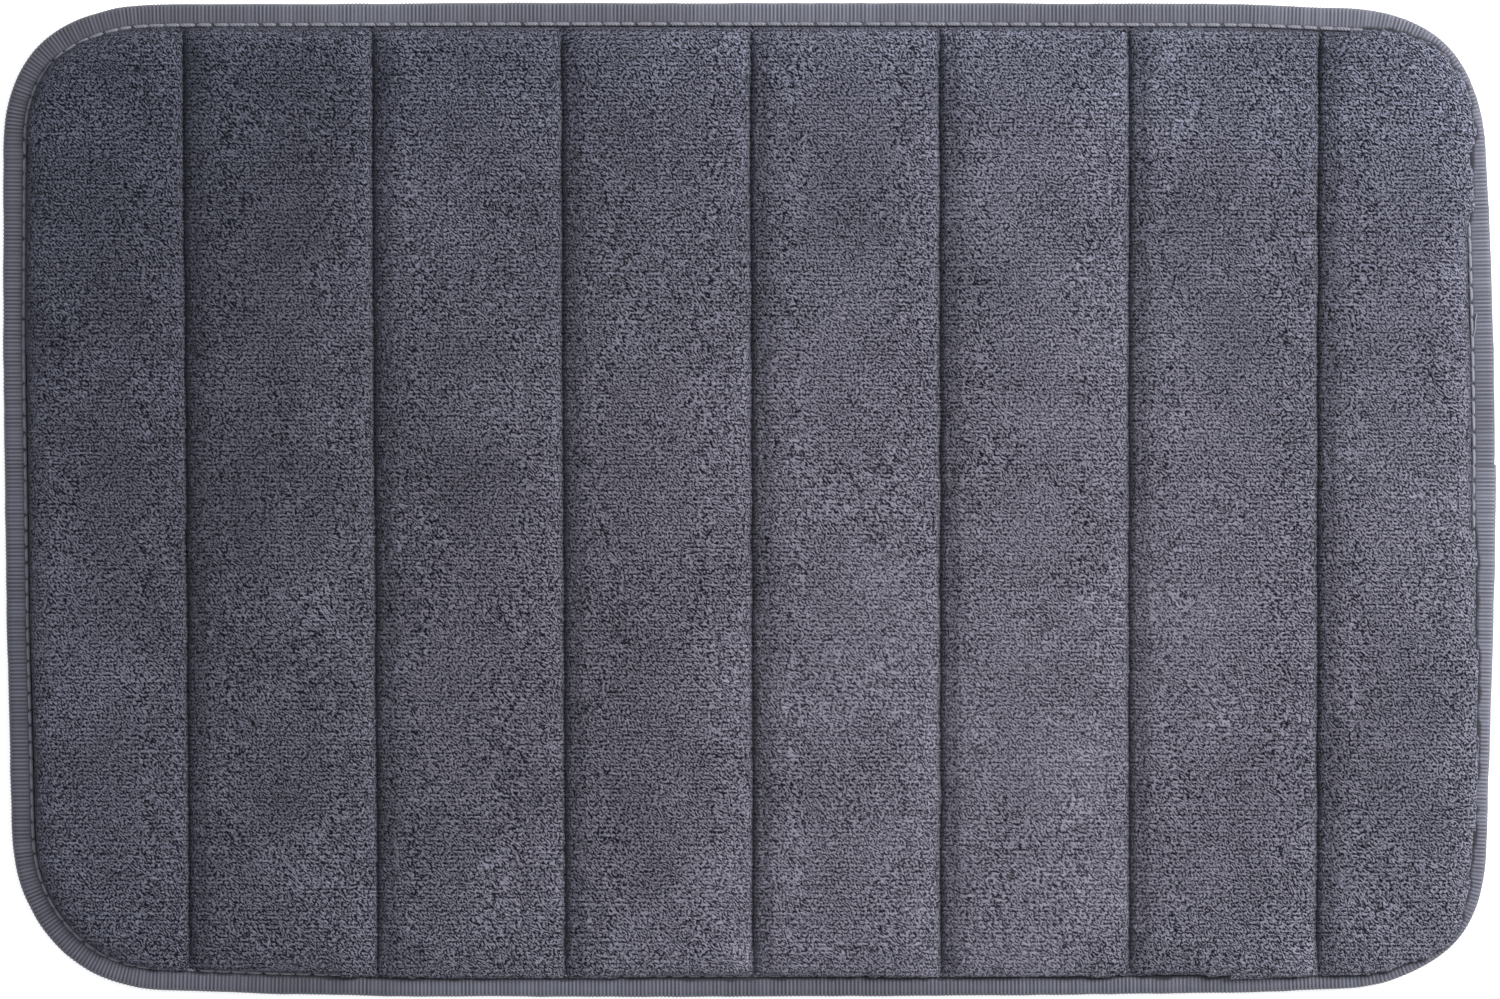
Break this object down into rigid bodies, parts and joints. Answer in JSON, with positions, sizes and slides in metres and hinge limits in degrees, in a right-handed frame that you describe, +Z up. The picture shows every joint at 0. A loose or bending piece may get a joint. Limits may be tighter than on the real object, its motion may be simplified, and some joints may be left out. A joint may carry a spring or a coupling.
{
  "type": "bath mat",
  "caption": "Quilted soft bath mat with a knitted pile top in padded panels, a foam core, a dotted anti-slip underside and a ribbed tape bound round its edge.",
  "frame": {"origin": "centre of the mat's box, at the level of the surface that the mat lies on", "axes": "+X along the long side, towards the side where the tape's ends lap; +Y along the short side; +Z up"},
  "size_m": [0.6, 0.3994, 0.013],
  "materials": {
    "pile_fabric": "short knitted pile",
    "foam": "open-cell foam",
    "scrim": "thin non-woven",
    "base_cloth": "plain knit",
    "dots": "soft printed plastic",
    "tape": "ribbed tape",
    "edge_thread": "twisted thread",
    "quilt_thread": "twisted thread"
  },
  "bodies": {
    "root": {"pile_cover": "pile_fabric", "foam_core": "foam", "quilting_scrim": "scrim", "anti_slip_base": "base_cloth", "anti_slip_dots": "dots", "binding_tape": "tape", "binding_needle_thread": "edge_thread", "binding_bobbin_thread": "edge_thread", "quilt_needle_thread_1": "quilt_thread", "quilt_needle_thread_2": "quilt_thread", "quilt_needle_thread_3": "quilt_thread", "quilt_needle_thread_4": "quilt_thread", "quilt_needle_thread_5": "quilt_thread", "quilt_needle_thread_6": "quilt_thread", "quilt_needle_thread_7": "quilt_thread", "quilt_bobbin_thread_1": "quilt_thread", "quilt_bobbin_thread_2": "quilt_thread", "quilt_bobbin_thread_3": "quilt_thread", "quilt_bobbin_thread_4": "quilt_thread", "quilt_bobbin_thread_5": "quilt_thread", "quilt_bobbin_thread_6": "quilt_thread", "quilt_bobbin_thread_7": "quilt_thread"}
  },
  "joints": []
}
